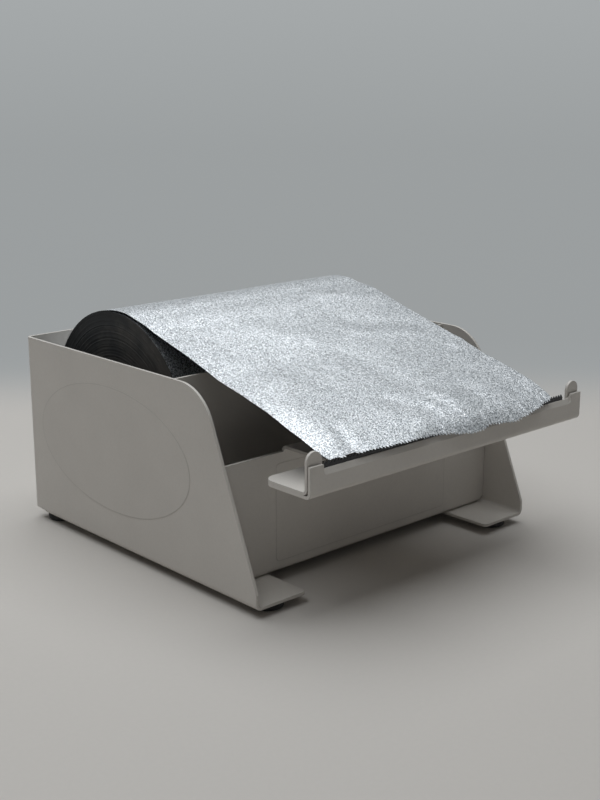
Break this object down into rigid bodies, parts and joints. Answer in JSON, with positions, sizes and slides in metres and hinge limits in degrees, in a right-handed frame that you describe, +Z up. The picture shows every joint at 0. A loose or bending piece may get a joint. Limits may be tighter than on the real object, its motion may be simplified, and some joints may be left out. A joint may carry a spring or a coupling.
{
  "type": "hair foil roll in a dispenser",
  "caption": "Wide roll of embossed hair foil resting in an open folded steel dispenser, with the sheet drawn forward over a serrated cutter.",
  "frame": {"origin": "centre of the whole object's length and width, at the underside of the feet", "axes": "+X to the right seen from the cutter, +Y from the cutter to the back panel, +Z up"},
  "size_m": [0.158, 0.1846, 0.1011],
  "materials": {
    "white_steel": "satin",
    "black_blade": "satin",
    "foil": "embossed",
    "cardboard": "matte",
    "black_rubber": "matte"
  },
  "bodies": {
    "root": {"side_and_back_shell": "white_steel", "roll_tray": "white_steel", "front_panel": "white_steel", "cutter_cover": "white_steel", "cutter_blade": "black_blade", "foil_roll": "foil", "core_tube": "cardboard", "foot_front_left": "black_rubber", "foot_front_right": "black_rubber", "foot_rear_left": "black_rubber", "foot_rear_right": "black_rubber"}
  },
  "joints": []
}
